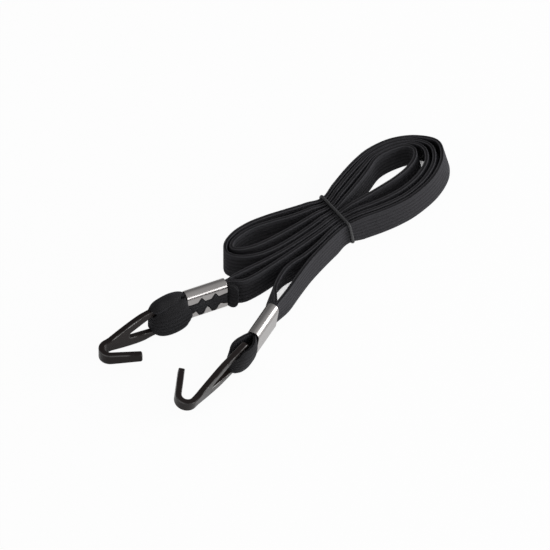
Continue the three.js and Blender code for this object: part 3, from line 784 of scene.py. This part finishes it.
def bend_hook(points):
    """The middle of the end bar is at the origin, x runs along the shank and the tip turns to y."""
    s, height, out = points.T
    turn = np.clip((s - bend_at) / plate_radius, 0, bend_angle)
    straight = np.where(s < bend_at, s - bend_at, np.maximum(0, s - bend_at - plate_radius * bend_angle))
    x = bend_at - BAR / 2 + plate_radius * np.sin(turn) + straight * np.cos(turn)
    y = plate_radius * (1 - np.cos(turn)) + straight * np.sin(turn)
    return np.column_stack([x - out * np.sin(turn), y + out * np.cos(turn), height])


def neck(end, x):
    """Where the loop's middle line is at a distance from the ferrule, and how far it has turned and rolled."""
    share = np.clip(x / NECK_TURN, 0, 1)
    angle = end["swing"] * share
    straight = np.where(x < 0, x, np.maximum(0, x - NECK_TURN))
    radius = NECK_TURN / end["swing"]
    along = radius * np.sin(angle) + straight * np.cos(angle)
    aside = radius * (1 - np.cos(angle)) + straight * np.sin(angle)
    return along, aside, angle, lerp(*end["rolls"], ease(x, 0, NECK_TURN))


def bar_at(end):
    """How far the middle of the eye's end bar is from the ferrule."""
    return end["loop"] - EYE_IN_LOOP + BAR / 2


def hang_hook(end):
    """From the hook's own frame to millimetres from the waist."""
    x, y, angle, roll = neck(end, np.array(bar_at(end)))
    lie = Matrix.Rotation(float(angle), 3, "Z") @ Matrix.Rotation(end["droop"], 3, "Y")
    lie = np.array(lie @ Matrix.Rotation(float(roll) + end["over"], 3, "X"))
    return lambda points: end["place"](np.asarray(points) @ lie.T + np.array([x, y, end["rise"]]))


def black_paint():
    """Black baked paint, slightly grained, paler and glossier along the plate's rounded edges, where it is partly
    rubbed thin and partly a painted highlight.
    """
    material, nodes = surface("black_paint")
    fine, broad = nodes.noise(1500, 3), nodes.noise(160, 3)
    # The paler colour along the rounded edges is partly wear and partly a painted highlight; the coat there adds real
    # gloss.
    edge_wear_and_highlight = nodes.kept("rim") * broad.between(0.3, 0.6)
    finish_surface(nodes, {
        "Base Color": nodes.colour(edge_wear_and_highlight, (0.0145, 0.011, 0.0106), (0.05, 0.047, 0.045)),
        "Roughness": broad * 0.18 + 0.2, "Specular IOR Level": 0.09, "Normal": nodes.bump(0.15, 0.0001, fine),
        "Coat Weight": edge_wear_and_highlight * 0.7, "Coat Roughness": 0.2, "Coat IOR": 1.9,
    })
    return material


paint = black_paint()
pattern, slot = hook_pattern()
for side, end in ENDS.items():
    hang = hang_hook(end)
    piece = bent_plate(f"plate_hook_{side}", pattern, [slot], PLATE, PLATE_ROUNDING, PLATE_STEP,
                       lambda p: hang(bend_hook(p)), paint)
    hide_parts(f"hook_{side}")
    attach(piece, f"hook_{side}")

# Band in the seams: the gathered band fills each ferrule and swells out between the teeth.
# It is the same woven band, pressed into the folded sheet.
SEAM_SWELL, SEAM_INSET = 1.15, 0.3


def grid_solid(name, front, inner, place, along, across):
    """Two skins over the same grid, closed round the border."""
    columns, rows = front.shape[:2]
    ids = np.arange(columns * rows).reshape(columns, rows)
    quads = np.stack([ids[:-1, :-1], ids[1:, :-1], ids[1:, 1:], ids[:-1, 1:]], axis=-1).reshape(-1, 4)
    count = columns * rows
    border = [*ids[:, 0], *ids[-1, 1:], *ids[-2::-1, -1], *ids[0, -2:0:-1]]
    walls = [(p, p + count, q + count, q) for p, q in zip(border, border[1:] + border[:1])]
    points = place(np.vstack([front.reshape(-1, 3), inner.reshape(-1, 3)]))
    faces = [*quads.tolist(), *(quads[:, ::-1] + count).tolist(), *walls]
    along, across = np.tile(along.ravel(), 2), np.tile(across.ravel(), 2)
    return solid_piece(name, points, faces, band_weave, along=along, across=across, depth=0 * along + BAND_THICK / 2)


def swelling(name, place):
    """A skin under the seam that stands out where the jaws leave it free."""
    columns = np.linspace(SEAM_INSET - FERRULE_LENGTH, -SEAM_INSET, 91)
    x, z = np.meshgrid(columns, np.linspace(FERRULE_FOOT + 0.7, FERRULE_TOP - 1.4, 61), indexing="ij")
    upper, lower = (np.interp(x, *zip(*jaw)) for jaw in (UPPER_JAW, LOWER_JAW))
    free = ease(np.minimum(upper - z, z - lower), -0.25, 1.1)
    past = np.maximum(FERRULE_FOOT + FERRULE_RADIUS - z, z - FERRULE_TOP + FERRULE_RADIUS)
    corner = np.clip(past / FERRULE_RADIUS, 0, 1)
    face = FERRULE_THICK / 2 - FERRULE_RADIUS * (1 - np.sqrt(1 - corner ** 2))
    front = np.stack([x, face - SHEET - 0.1 + SEAM_SWELL * free, z], axis=-1)
    inner = np.stack([x, np.minimum(front[..., 1], 0.9), z], axis=-1)
    return grid_solid(name, front, inner, place, x, z)


for side in ENDS:
    piece = swelling(f"band_in_seam_{side}", in_ferrule(side))
    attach(piece, "strap")

# Eye loops: beyond each ferrule the band goes round the end bar of the hook's eye and comes back.
# It spreads to a ball there; at the left end it runs on through the ferrule to a short cut tail.
TAIL_LAYER, TAIL_END, TAIL_SPRING, TAIL_DROP, TAIL_ROUND = 1.1, 4.2, 3.92, -0.8, 2.2
LOOP_NARROW, LOOP_STEP = 9, 0.45
LOOP_LENGTH = {"left": 17.5, "right": 14.8}
# The rear and the front lobe of each loop: how far it bulges and lifts, how round and late it swells, how far it
# stands above and below its middle line, how wide it starts (mouth), how late it closes, how early it leaves the
# ferrule, how many degrees its top and foot curl in, whether that curl follows the turn, and how deep it folds.
LOBES = {
    "left": (
        {"bulge": 3.9, "round": 0.42, "late": 0.4, "lift": 2.1, "follow": -0.6, "top": 180, "foot": 40, "fold": 0,
         "above": 12.5, "below": 4, "mouth": 0.78, "close": 9, "early": 0.7},
        {"bulge": 4.8, "round": 0.55, "late": 0, "lift": 0, "follow": 1, "top": 65, "foot": 0, "fold": 2.4,
         "above": 7.4, "below": 6.8, "mouth": 1.05, "close": 14, "early": 0},
    ),
    "right": (
        {"bulge": 4.5, "round": 0.9, "late": 0.7, "lift": 0, "follow": 1, "top": -4, "foot": 20, "fold": 0,
         "above": 6.5, "below": 6.5, "mouth": 1, "close": 12, "early": 0},
        {"bulge": 4.3, "round": 0.8, "late": 0.4, "lift": 0.4, "follow": 1, "top": 40, "foot": 25, "fold": 0.6,
         "above": 7.3, "below": 6.2, "mouth": 0.9, "close": 12, "early": 0},
    ),
}


def lobe_stations(loop, lobe, side):
    """One lobe from the ferrule to the far end of the loop: x, y, lift, widths, thickness and curls."""
    turn = np.linspace(0.02, math.pi, 60)
    long = loop - BAND_THICK / 2
    x = lerp(-lobe["early"], long, (1 - np.cos(turn)) / 2)
    spread = np.abs(np.sin(turn)) ** lobe["round"] * np.sin(turn / 2) ** lobe["late"]
    y = side * (LAYER * np.cos(turn / 2) ** 2 + lobe["bulge"] * spread)
    begun = x + lobe["early"]
    loose = ease(begun, -1.2, 1.2) * (1 - ease(x, long - 1.3, long + 0.2))
    drawn = (1 - ease(np.abs(y), 0.6, 2)) * (turn > math.pi / 2)
    far = np.clip((x - 0.35 * long) / (0.65 * long), 0, 1)
    shut = lerp(0.2, 1, np.sqrt(1 - far ** lobe["close"]))
    above = lobe["above"] * shut * lerp(lobe["mouth"], 1, ease(begun, 0, 8))
    above = lerp(lerp(LAYER_WIDTH / 2, above, ease(begun, -1, 1)), LOOP_NARROW / 2, drawn)
    below = lerp(LAYER_WIDTH / 2, lerp(LOOP_NARROW / 2, lobe["below"], np.sqrt(1 - far ** 2.6)), ease(x, -0.3, 1.4))
    below = lerp(below, LOOP_NARROW / 2, drawn)
    thick = lerp(RIGHT_LAYER_THICK, BAND_THICK, ease(x, 0, 3))
    fold = lobe["fold"] * ease(x, -0.2, 0.8) * (1 - ease(x, 0.8, 7))
    top, foot = (math.radians(lobe[name]) * loose for name in ("top", "foot"))
    return np.column_stack([x, y, lobe["lift"] * shut * loose, above, below, thick, top, foot, fold,
                            lerp(1, lobe["follow"], ease(far, 0, 0.8))])


def leg_stations(side, tail, early):
    """The band inside the ferrule, from its middle, or from the cut end of the tail, to the loop."""
    x = np.arange(-FERRULE_LENGTH - TAIL_END if tail else -FERRULE_LENGTH / 2, -0.3 - early, 0.25)
    sprung = ease(-x, FERRULE_LENGTH, FERRULE_LENGTH + TAIL_END + 2)
    y = side * lerp(LAYER, TAIL_LAYER if tail else LAYER, ease(-x, 4, 9)) + sprung * TAIL_SPRING
    flare = ease(-x, FERRULE_LENGTH - 0.2, FERRULE_LENGTH + 2)
    past = np.clip((-x - FERRULE_LENGTH - TAIL_END + TAIL_ROUND) / TAIL_ROUND, 0, 1)
    half = lerp(LAYER_WIDTH, BAND_WIDTH, flare) / 2 - TAIL_ROUND * (1 - np.sqrt(1 - past ** 2))
    thick = lerp(LEFT_LAYER_THICK if tail else RIGHT_LAYER_THICK, BAND_THICK, flare)
    nothing = 0 * x
    return np.column_stack([x, y, TAIL_DROP * flare, half, half, thick, nothing, nothing, nothing, nothing + 1])


def loop_rows(side):
    """The stations of a loop, evenly spaced and smoothed, from its rear leg round to its front leg."""
    rear, front = LOBES[side]
    there = np.vstack([leg_stations(-1, False, rear["early"]), lobe_stations(LOOP_LENGTH[side], rear, -1)])
    back = np.vstack([leg_stations(1, side == "left", front["early"]), lobe_stations(LOOP_LENGTH[side], front, 1)])
    rows = np.vstack([there[:-1], (there[-1:] + back[-1:]) / 2, back[-2::-1]])
    length = np.r_[0, np.cumsum(np.linalg.norm(np.diff(rows[:, :2], axis=0), axis=1))]
    along = np.linspace(0, length[-1], math.ceil(length[-1] / LOOP_STEP))
    rows = np.column_stack([np.interp(along, length, column) for column in rows.T])
    for _ in range(3):
        rows[1:-1] = (rows[:-2] + 2 * rows[1:-1] + rows[2:]) / 4
    return rows, along


def curled_skin(rows, outline):
    """The band's outline at every station, its upper and lower parts curled in towards the middle of the loop."""
    x, y, lift, above, below, thick, top, foot, fold, follow = (column[:, None] for column in rows.T)
    heading = np.gradient(rows[:, :2], axis=0)
    heading /= np.linalg.norm(heading, axis=1)[:, None]
    out_x, out_y = heading[:, 1:], -heading[:, :1]
    across = np.linspace(-1, 1, 53)
    angle = top * np.clip(across, 0, 1) ** 2 - foot * np.clip(-across, 0, 1) ** 2
    steps = np.diff(across) * np.where(across[1:] > 0, above, below)
    halfway = (angle[:, 1:] + angle[:, :-1]) / 2
    inward = np.column_stack([0 * x, np.cumsum(np.sin(halfway) * steps, axis=1)])
    upward = np.column_stack([0 * x, np.cumsum(np.cos(halfway) * steps, axis=1)])
    middle = [len(across) // 2]
    spots = outline[:, 1] / (BAND_WIDTH / 2)
    at = lambda table: np.array([np.interp(spots, across, row) for row in table])
    lean, inward, upward = at(angle), at(inward - inward[:, middle]), at(upward - upward[:, middle])
    skin = outline[:, 0] * thick / BAND_THICK
    folded = fold * np.sin(math.pi * np.clip((0.4 - spots) / 1.4, 0, 1))
    return np.stack([
        x + out_x * (skin * np.cos(lean) - follow * inward) - folded,
        y + out_y * (skin * np.cos(lean) - inward),
        lift + upward + skin * np.sin(lean),
    ], axis=-1)


def eye_loop(name, side):
    """The band from the ferrule, round the end bar and back, turned and rolled with the hook."""
    end, outline = ENDS[side], band_section()
    rows, along = loop_rows(side)
    points = curled_skin(rows, outline)
    rings, sides = points.shape[:2]
    neck_x, neck_y, turn, roll = neck(end, points[..., 0])
    x, y, z = np.moveaxis(rolled(points, roll), -1, 0)
    points = np.stack([neck_x - y * np.sin(turn), neck_y + y * np.cos(turn), z], axis=-1)
    ids = np.arange(rings * sides).reshape(rings, sides)
    beside = np.roll(ids, -1, axis=1)
    faces = np.stack([ids[:-1], beside[:-1], beside[1:], ids[1:]], axis=-1).reshape(-1, 4).tolist()
    faces += [ids[0][::-1].tolist(), ids[-1].tolist()]
    return solid_piece(name, end["place"](points.reshape(-1, 3)), faces, shaded_loop_weave, along=np.repeat(along, sides),
                       across=np.tile(outline[:, 1], rings), depth=np.tile(outline[:, 0], rings))


# The loops take a darker copy of the band's weave: painted shade on the domed loops, which catch more light than the
# strands.
shaded_loop_weave = woven_black("woven_black_loop_shade", 0.4)
for side, end in ENDS.items():
    piece = eye_loop(f"band_loop_{side}", side)
    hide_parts(f"eye_loop_{side}")
    start, stop = to_part(end["place"]([(0.5, 0, 0), (bar_at(end) - 1.5, 0, 0)]))
    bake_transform(piece)

# Floor and light: a flat white floor, three large soft lamps and a dim sky that is brighter high on the near right.
# To the camera and in reflections the floor is plain white where it lies open, with the strap's shadow left on it.
FLOOR_PLAIN = 0.95
SKY_BRIGHTEST = (0.5, -0.42, 0.757)
scene.view_settings.view_transform = "Standard"
floor_mesh = bpy.data.meshes.new("floor")
floor_mesh.from_pydata([(-6, -6, 0), (6, -6, 0), (6, 6, 0), (-6, 6, 0)], [], [(0, 1, 2, 3)])
floor = linked("floor", floor_mesh)


def shown_directly(nodes):
    """1 for what the camera, a reflection or a clear piece shows, 0 for light on other things."""
    ray = nodes.add("ShaderNodeLightPath")
    return ray["Is Camera Ray"].math("MAXIMUM", ray["Is Glossy Ray"].math("MAXIMUM", ray["Is Transmission Ray"]))


material, nodes = surface("white_floor")
lit = nodes.add("ShaderNodeBsdfDiffuse", {}, {"Color": (0.9, 0.9, 0.9, 1)})
plain = nodes.add("ShaderNodeEmission", {}, {"Color": (1, 1, 1, 1), "Strength": 1})
open_floor = nodes.add("ShaderNodeAmbientOcclusion", {"samples": 8}, {"Distance": 0.02}, "AO").between(0.03, 0.13)
shown = shown_directly(nodes) * open_floor * FLOOR_PLAIN
mixed = nodes.add("ShaderNodeMixShader", {}, {0: shown, 1: lit, 2: plain})
nodes.add("ShaderNodeOutputMaterial", {}, {"Surface": mixed})
floor.data.materials.append(material)

world = bpy.data.worlds.new("studio")
scene.world = world
world.use_nodes = True
world.node_tree.nodes.clear()
nodes = Nodes(world.node_tree)
way = nodes.add("ShaderNodeTexCoord", {}, {}, "Generated")
facing = nodes.add("ShaderNodeVectorMath", {"operation": "DOT_PRODUCT"}, {0: way, 1: SKY_BRIGHTEST}, "Value")
dim, bright, white = (
    nodes.add("ShaderNodeBackground", {}, {"Color": (1, 1, 1, 1), "Strength": strength}) for strength in (0.32, 0.75, 1)
)
sky = nodes.add("ShaderNodeMixShader", {}, {0: facing.between(0.35, 0.95), 1: dim, 2: bright})
shown = nodes.add("ShaderNodeMixShader", {}, {0: nodes.add("ShaderNodeLightPath")["Is Camera Ray"], 1: sky, 2: white})
nodes.add("ShaderNodeOutputWorld", {}, {"Surface": shown})


def soft_lamp(name, place, size, power):
    """A round lamp that looks at the strap."""
    lamp = bpy.data.lights.new(name, "AREA")
    lamp.shape, lamp.size, lamp.energy = "DISK", size, power
    obj = linked(name, lamp)
    obj.location = Vector(place)
    obj.rotation_euler = (-Vector(place)).to_track_quat("-Z", "Y").to_euler()


soft_lamp("key_light", (1.2, -0.47, 0.34), 0.85, 12.3)
soft_lamp("front_light", (0.25, -1.25, 0.25), 0.45, 4.2)
soft_lamp("left_light", (-1.2, -0.2, 0.5), 1.2, 2)
